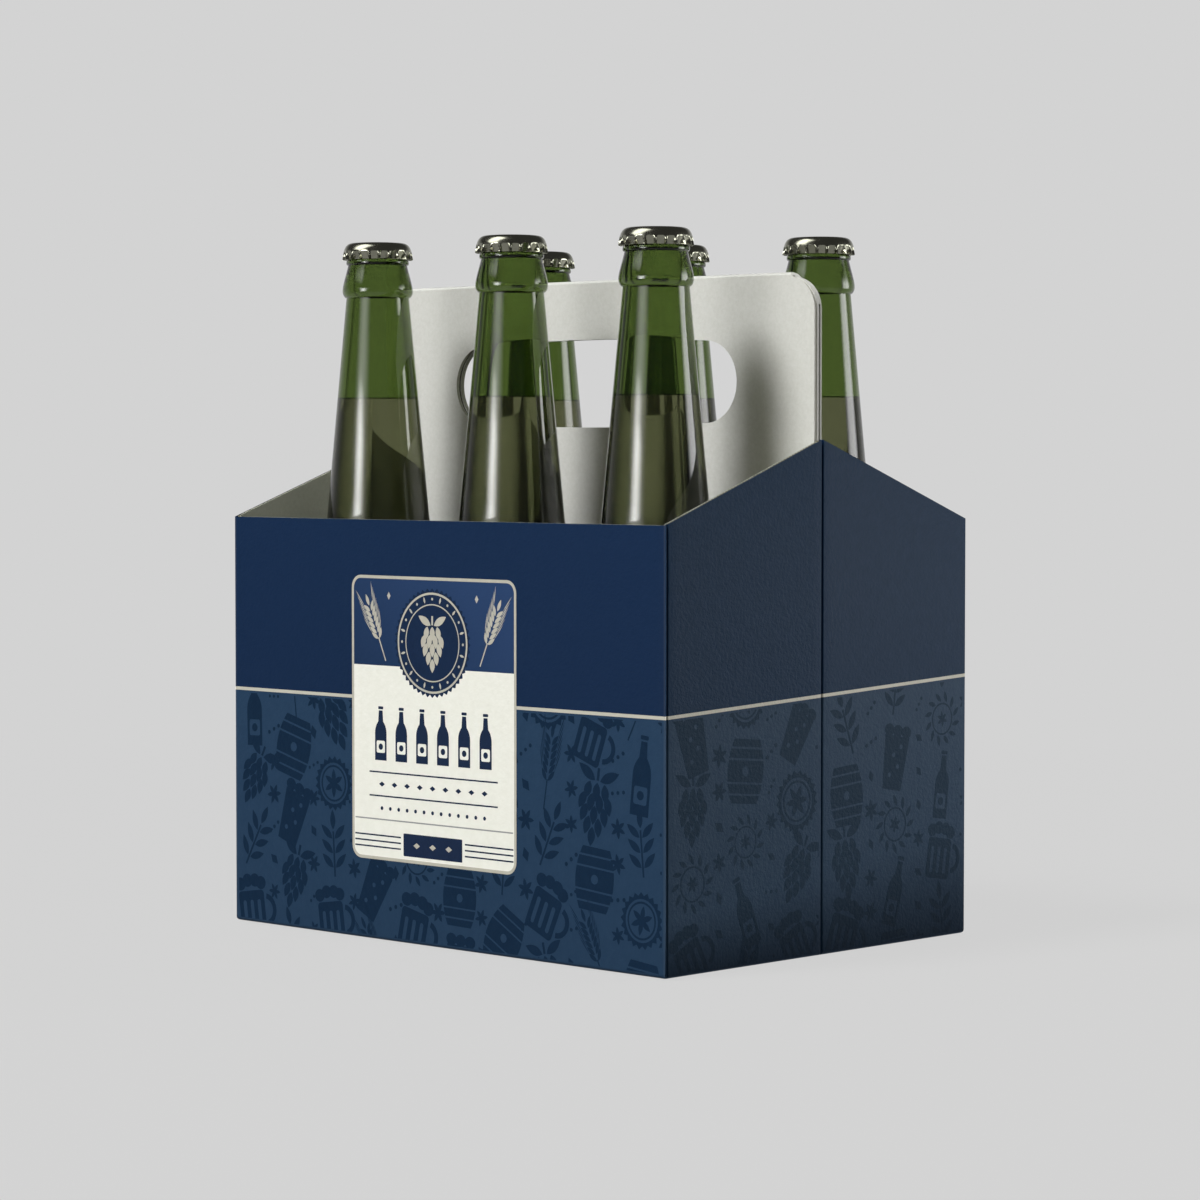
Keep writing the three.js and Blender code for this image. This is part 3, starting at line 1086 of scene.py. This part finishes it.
def hole_outline():
    x = HOLE_HALF_LENGTH - HOLE_END_RADIUS
    crown = HOLE_END_RADIUS + 2 * HOLE_CROWN
    top = bezier([(x, HOLE_Z + HOLE_END_RADIUS), (0, HOLE_Z + crown), (-x, HOLE_Z + HOLE_END_RADIUS)], 24)
    half = arc(x, HOLE_Z, HOLE_END_RADIUS, -90, 90, 28) + top[1:-1]
    return half + [(-px, 2 * HOLE_Z - pz) for px, pz in half]


def fold_end(z, half):
    """How far the handle reaches along X at a height."""
    a, b = [leg for leg in zip(half, half[1:]) if leg[0][1] <= z <= leg[1][1]][-1]
    return between(a, b, (z - a[1]) / (b[1] - a[1]) if b[1] > a[1] else 1)[0]


def drawn_in(outline, amount):
    """An outline, given counterclockwise, moved inwards by an amount that may differ with the height."""
    moved = []
    for before, (x, z), after in zip(outline[-1:] + outline, outline, outline[1:] + outline[:1]):
        right = rightward(before, after)
        moved.append((x - right[0] * amount(z), z - right[1] * amount(z)))
    return moved


def make_handle():
    """Five papers through the handle's thickness, and the fold along the top that joins its plies."""
    half = handle_half()
    crease = HANDLE_TOP - FOLD_HEIGHT
    outline = mirrored([p for p in half if p[1] < crease] + [(fold_end(crease, half), crease)])
    hole = hole_outline()
    outer = HANDLE_THICKNESS / 2
    materials = [bare, core, dark, shaded_cut]
    white, inner, gap, cut = range(len(materials))

    def layer(y_from, y_to, hole_depth, hole_tone, rim_depths=(0, 0), rim_tones=(white, white)):
        """One paper of the handle, with how deep its cut edges lie and the material that they show.

        Those of the outer edge are pairs, for below the slit's top and above it.
        """
        rim_line = drawn_in(outline, lambda z: rim_depths[z > SLIT_TOP])
        hole_line = drawn_in(hole, lambda z: -hole_depth)
        made = prism([rim_line, hole_line], y_from, y_to).moved(lambda x, z, y: (x, y, z))
        flat = len(made.faces) - len(rim_line) - len(hole_line)
        edge = [rim_tones[z > SLIT_TOP] for x, z in rim_line]
        made.tones = [white] * flat + edge + [hole_tone] * len(hole_line)
        return made

    # In the hole, the cut edges show a grey of painted shade and the middle paper a near-black one; the slit
    # between the plies shows the same near-black painted shade below its top
    papers = (
        (-outer, -outer + LINER, 0, cut),
        (-outer + LINER, PLY_FRONT, CUT_RECESS, cut, (CORE_RECESS, CORE_RECESS), (inner, inner)),
        (PLY_FRONT, SLIT_FRONT, GAP_RECESS, gap),
        (SLIT_FRONT, SLIT_BACK, CUT_RECESS, cut, (GAP_RECESS, STEP_RECESS), (gap, white)),
        (SLIT_BACK, outer, 0, cut),
    )
    plies = Shape()
    for paper in papers:
        plies.join(layer(*paper))
    section = []
    for i in range(17):
        angle = math.pi * i / 16
        z = crease + FOLD_HEIGHT * math.sin(angle)
        section.append((-outer * math.cos(angle), z, fold_end(min(z, HANDLE_TOP), half)))
    plies.join(rings([[(side * reach, y, z) for y, z, reach in section] for side in (-1, 1)]))
    place("handle_plies", plies, materials, smooth_to=50)


# The bottles

def shoulder(inset, steps):
    """The shoulder's curve, upright at the body and in line with the neck's taper at its end."""
    taper = (NECK_BASE_RADIUS - COLLAR_RADIUS) / (COLLAR_Z - NECK_BASE_Z)
    reach = (NECK_BASE_Z - SHOULDER_Z) * SHOULDER_PULL
    low = (BODY_RADIUS - inset, SHOULDER_Z)
    high = (NECK_BASE_RADIUS + taper * (NECK_BASE_Z - SHOULDER_TOP_Z) - inset, SHOULDER_TOP_Z)
    pull = (SHOULDER_TOP_Z - SHOULDER_Z) * NECK_PULL
    return bezier([low, (low[0], low[1] + reach), (high[0] + taper * pull, high[1] - pull), high], steps)


def hollow(gap):
    """The inside of the glass from the neck's base down to the axis, drawn in by a gap."""
    radius = BODY_RADIUS - GLASS - gap
    heel = bezier([
        (radius, GLASS_FLOOR + FOOT_ROUND + gap),
        (radius, GLASS_FLOOR + gap),
        (FOOT_RADIUS - GLASS - gap, GLASS_FLOOR + gap),
    ], 6)
    return [*shoulder(GLASS + gap, 28)[::-1], *heel, (0, GLASS_FLOOR + GLASS + gap)]


def neck_inside(z):
    """The radius of the hollow in the neck at a height."""
    base = NECK_BASE_RADIUS - GLASS
    return base + (MOUTH_RADIUS - base) * (z - NECK_BASE_Z) / (COLLAR_Z - NECK_BASE_Z)


def bottle_shape():
    foot = bezier([(FOOT_RADIUS, 0), (BODY_RADIUS, 0), (BODY_RADIUS, FOOT_ROUND)], 8)
    base, collar = (NECK_BASE_RADIUS, NECK_BASE_Z), (COLLAR_RADIUS, COLLAR_Z)
    bead, throat, ring = (BEAD_RADIUS, BEAD_Z), (THROAT_RADIUS, THROAT_Z), (RING_RADIUS, RING_Z)
    level = (FILL_Z - NECK_BASE_Z) / (COLLAR_Z - NECK_BASE_Z)
    neck = [between(base, collar, t) for t in (0, level / 2, level, level + (1 - level) / 2, 0.985)]
    finish = chained(
        ([collar, (COLLAR_RADIUS + 0.6, COLLAR_Z + 0.1), (BEAD_RADIUS, COLLAR_Z + 1.1), bead], 12),
        ([bead, (BEAD_RADIUS, BEAD_Z + 1.8), (THROAT_RADIUS + 0.75, THROAT_Z - 3.3), throat], 16),
        ([throat, (RING_RADIUS - 0.05, THROAT_Z + 0.1), (RING_RADIUS, RING_Z - 0.4), ring], 8),
        ([ring, (RING_RADIUS, CAP_BOTTOM_Z - 0.3), (THROAT_RADIUS, CAP_BOTTOM_Z)], 6),
    )
    lip = arc(THROAT_RADIUS - LIP_ROUND, LIP_Z - LIP_ROUND, LIP_ROUND, 0, 90, 4)
    under = [(0, PUNT), (FOOT_RADIUS * 0.6, PUNT * 0.8)]
    outer = [*under, *foot, *shoulder(0, 28), *neck, collar, *finish, *lip]
    inner = [(MOUTH_RADIUS, LIP_Z), (MOUTH_RADIUS, COLLAR_Z), (neck_inside(FILL_Z), FILL_Z), *hollow(0)]

    def tone(j):
        """The glass of one band: the outside above and below the drink's level, then the inside likewise."""
        if j < len(outer):
            return 0 if outer[min(j + 1, len(outer) - 1)][1] > FILL_Z else 1
        return 2 if j < len(outer) + 2 else 3

    profile = outer + inner
    return turned(profile, 96, [tone(j) for j in range(len(profile) - 1)])


def drink_shape():
    """The drink, whose side reaches a little into the glass and whose surface climbs at the wall."""
    radius = neck_inside(FILL_Z) + DRINK_IN_WALL
    climb = [
        (radius * t, FILL_Z + MENISCUS * max(0, 1 - radius * (1 - t) / MENISCUS_REACH) ** 3)
        for t in (0.2, 0.5, 0.7, 0.8, 0.86, 0.9, 0.94, 0.97, 1)
    ]
    side = hollow(-DRINK_IN_WALL)
    profile = [(0, FILL_Z), *climb, (radius, FILL_Z - 0.3), *side]
    return turned(profile[::-1], 96)


def cap_shape():
    """A crown cap, turned and then pressed in between its ridges."""
    flat, side = (CAP_FLAT_RADIUS, CAP_TOP_Z), (CAP_SIDE_RADIUS, CAP_SIDE_Z)
    curl = (CAP_SKIRT_RADIUS, CAP_CURL_Z)
    round_side = chained(
        ([flat, (CAP_SIDE_RADIUS - 1, CAP_TOP_Z - 0.05), (CAP_SIDE_RADIUS - 0.3, CAP_TOP_Z - 1.8), side], 16),
        ([side, (CAP_SIDE_RADIUS + 0.17, CAP_SIDE_Z - 0.95), curl], 6),
        ([curl, (CAP_SKIRT_RADIUS + 0.04, CAP_BOTTOM_Z), (CAP_RIM_RADIUS, CAP_BOTTOM_Z)], 6),
    )
    outer = [(0, CAP_TOP_Z), (4, CAP_TOP_Z), (7, CAP_TOP_Z - 0.01), flat, *round_side]
    inner = [(r - CAP_SHELL, z - CAP_SHELL * (z > CAP_CURL_Z)) for r, z in reversed(outer[2:-1:2])]
    profile = [*outer, *inner, (0, CAP_TOP_Z - CAP_SHELL)]
    shape = turned(profile, CAP_FLUTES * 18)
    pitch = TAU * CAP_SIDE_RADIUS / CAP_FLUTES

    def pressed(x, y, z):
        radius = math.hypot(x, y)
        if radius < CAP_FLAT_RADIUS:
            return (x, y, z)
        across = abs(((math.atan2(y, x) / TAU * CAP_FLUTES) % 1 - 0.5) * pitch)
        over = max(0.0, z - (PANEL_TOP_Z - PANEL_HALF_WIDTH))
        inside = PANEL_HALF_WIDTH - (across**3 + over**3) ** (1 / 3)
        share = min(1.0, max(0.0, inside / PANEL_WALL + 0.5))
        down = min(1.0, (PANEL_TOP_Z - z) / (PANEL_TOP_Z - CAP_BOTTOM_Z))
        depth = PANEL_TOP_DEPTH + (PANEL_LOW_DEPTH - PANEL_TOP_DEPTH) * down
        scale = 1 - depth * share * share * (3 - 2 * share) / radius
        return (x * scale, y * scale, z)

    return shape.moved(pressed)


def make_bottles():
    glass = [
        glass_material("green_glass_outside", GREEN_GLASS),
        glass_material("green_glass_outside_wet", WET_GREEN_GLASS),
        glass_material("green_glass_inside", CLEAR_GLASS, gloss=0.15, dark_line=(0.19, 0.235, 0.9)),
        glass_material("green_glass_inside_wet", WET_CLEAR_GLASS, gloss=0.1),
    ]
    brew = glass_material("brew", BREW, ior=BREW_IOR, gloss=0.05, dark_line=(0.27, 0.32, 0.8))
    kinds = {
        "glass": (bottle_shape(), glass, "green_glass"),
        "drink": (drink_shape(), [brew], "drink"),
        "cap": (cap_shape(), [metal_material()], "cap_metal"),
    }
    rows = {"front": -ROW_OFFSET, "rear": ROW_OFFSET}
    columns = {"left": -COLUMN_PITCH, "middle": 0, "right": COLUMN_PITCH}
    foot = FLOOR + REST_GAP
    turns = random.Random(6)
    for row, y in rows.items():
        for column, x in columns.items():
            spin = turns.uniform(0, TAU)
            for kind, (shape, materials, slot) in kinds.items():
                cos, sin = on_circle(1, spin) if kind == "cap" else (1, 0)
                here = Shape().join(shape).moved(
                    lambda a, b, c: (x + a * cos - b * sin, y + a * sin + b * cos, c + foot))
                name = f"{kind}_{row}_{column}"
                place(f"{name}_look", here, materials, slot, smooth_to=60, replaces=[name])


# The stage

# The camera's place in metres, how far in degrees it looks down and turns from +Y, and its lens
CAMERA_PLACE = (0.83866, -0.86963, 0.16183)
CAMERA_DOWN = 2.455
CAMERA_TURN = 43.885
CAMERA_LENS = 108.09
CAMERA_SENSOR = 36

# The room's brightness in front of the object, behind it and below, and behind it as gloss mirrors it
BACKGROUND = srgb(211, 211, 211)
ROOM_FRONT = 0.06
ROOM_BACK = 0.5
ROOM_LOW = 0.4
MIRRORED_BACK = 0.6
MIRRORED_FALL = 1.5

# The height in metres that the light panels face, and how far off they stand
LIGHT_AIM = 0.17
LIGHT_DISTANCE = 4.0

# The floor, almost clear where the object stands and fully clear at its edge
FLOOR_RADIUS = 1.4
FLOOR_SIDES = 96
FLOOR_DROP = 0.0005
FLOOR_TONE = 0.62
FLOOR_CLEAR = 0.94
FLOOR_FADE = (0.2, 0.8)


def make_camera():
    data = bpy.data.cameras.new("camera")
    data.lens = CAMERA_LENS
    data.sensor_width = CAMERA_SENSOR
    camera = new_object("camera", data)
    camera.location = CAMERA_PLACE
    camera.rotation_euler = (math.radians(90 - CAMERA_DOWN), 0, math.radians(CAMERA_TURN))
    bpy.context.scene.camera = camera


def make_world():
    """A plain pale background for the camera and through glass, and a dim room for the rest."""
    world = bpy.data.worlds.new("studio")
    bpy.context.scene.world = world
    world.use_nodes = True
    tree = world.node_tree
    tree.nodes.clear()
    path = node(tree, "LightPath").outputs
    x, y, z = node(tree, "SeparateXYZ", {0: node(tree, "TexCoord").outputs["Generated"]}).outputs
    toward_back = calc(tree, "ADD", calc(tree, "MULTIPLY", x, -0.7), calc(tree, "MULTIPLY", y, 0.7))
    lit = ranged(tree, toward_back, 0.3, 0.9, ROOM_FRONT, ROOM_BACK)
    low = ranged(tree, z, -0.15, -0.4, 0.0, ROOM_LOW)
    fall = calc(tree, "MULTIPLY", calc(tree, "MAXIMUM", z, 0.0), MIRRORED_FALL)
    near_horizon = calc(tree, "SUBTRACT", toward_back, fall)
    backdrop = ranged(tree, near_horizon, 0.0, 0.7, ROOM_FRONT, MIRRORED_BACK)
    mirrored_light = calc(tree, "MULTIPLY", calc(tree, "MAXIMUM", low, backdrop), path["Is Glossy Ray"])
    other_light = calc(tree, "MULTIPLY", lit, calc(tree, "SUBTRACT", 1.0, path["Is Glossy Ray"]))
    light = calc(tree, "ADD", mirrored_light, other_light)
    room = node(tree, "CombineColor", {0: light, 1: light, 2: light}).outputs[0]
    seen = calc(tree, "MAXIMUM", path["Is Camera Ray"], path["Is Transmission Ray"])
    background = node(tree, "Background", {"Color": mixed(tree, seen, room, BACKGROUND)})
    node(tree, "OutputWorld", {0: background.outputs[0]})


def soft_box(name, azimuth, elevation, across, upright, radiance, edge, edge_up,
             diffuse=True, glossy=True, distance=LIGHT_DISTANCE, colour=(1, 1, 1)):
    """A light panel that faces the object, of a width and height in degrees.

    It is brightest in the middle and fades over a share of its width and of its height, its two edges.
    """
    data = bpy.data.lights.new(name, "AREA")
    data.shape = "RECTANGLE"
    data.size = 2 * distance * math.tan(math.radians(across / 2))
    data.size_y = 2 * distance * math.tan(math.radians(upright / 2))
    data.energy = radiance * math.pi * data.size * data.size_y
    data.color = colour
    data.use_nodes = True
    tree = data.node_tree
    where = node(tree, "SeparateXYZ", {0: node(tree, "NewGeometry").outputs["Parametric"]}).outputs
    strength = 1.0
    for socket, share in zip(where, (edge, edge_up)):
        off_centre = calc(tree, "ABSOLUTE", calc(tree, "SUBTRACT", socket, 0.5))
        fall = ranged(tree, off_centre, 0.5 - share, 0.5, 1.0, 0.0, "SMOOTHSTEP")
        strength = calc(tree, "MULTIPLY", fall, strength)
    fill_in(tree, of_type(tree, "EMISSION"), {"Strength": strength})
    light = new_object(name, data)
    a, e = math.radians(azimuth), math.radians(elevation)
    away = Vector((*on_circle(math.cos(e), a), math.sin(e)))
    light.location = Vector((0, 0, LIGHT_AIM)) + away * distance
    light.rotation_euler = away.to_track_quat("Z", "Y").to_euler()
    light.visible_camera = False
    light.visible_diffuse = diffuse
    light.visible_glossy = glossy
    light.visible_transmission = False


def make_lights():
    """The lights by azimuth, elevation, width and height in degrees, then radiance and the two edges."""
    soft_box("main_light", -105, 52, 20, 22, 57, 0.35, 0.35, glossy=False)
    soft_box("main_glow", -118, 49, 42, 54, 3.6, 0.25, 0.2, diffuse=False)
    soft_box("front_card", -92, 0.75, 32, 20.5, 13.5, 0.5, 0.073, diffuse=False)
    soft_box("front_card_top", -92, 11.5, 50, 8, 3.6, 0.5, 0.2, diffuse=False)
    soft_box("front_light", -96, 4, 30, 24, 7, 0.35, 0.3, glossy=False)
    soft_box("side_panel", 47, 4, 38, 40, 6.4, 0.35, 0.3, distance=0.9)
    soft_box("right_fill", -15, 15, 60, 50, 0.6, 0.3, 0.3, glossy=False, distance=1.2)
    soft_box("fill", -80, 20, 100, 60, 0.46, 0.3, 0.3, glossy=False, colour=(1.0, 1.0, 0.7))


def make_floor_disc():
    """The pale floor, which fades into the background."""
    mesh = bpy.data.meshes.new("floor")
    edge = [(*on_circle(FLOOR_RADIUS, TAU * i / FLOOR_SIDES), -FLOOR_DROP) for i in range(FLOOR_SIDES)]
    faces = [(0, i + 1, (i + 1) % FLOOR_SIDES + 1) for i in range(FLOOR_SIDES)]
    mesh.from_pydata([(0, 0, -FLOOR_DROP)] + edge, [], faces)
    material, tree, shader = new_material("floor")
    fill_in(tree, shader, {"Base Color": (FLOOR_TONE, FLOOR_TONE, FLOOR_TONE, 1), "Roughness": 0.9})
    where = node(tree, "TexCoord").outputs["Object"]
    far = node(tree, "VectorMath", {0: where}, operation="LENGTH").outputs["Value"]
    fade = ranged(tree, far, *FLOOR_FADE, FLOOR_CLEAR, 1.0)
    clear = node(tree, "BsdfTransparent").outputs[0]
    mix = node(tree, "MixShader", {0: fade, 1: shader.outputs[0], 2: clear})
    fill_in(tree, of_type(tree, "OUTPUT_MATERIAL"), {0: mix.outputs[0]})
    mesh.materials.append(material)
    floor = new_object("floor", mesh)


bpy.context.scene.view_settings.view_transform = "Standard"
make_camera()
make_world()
make_lights()
make_floor_disc()
make_basket()
make_print()
make_floor()
make_handle()
make_bottles()
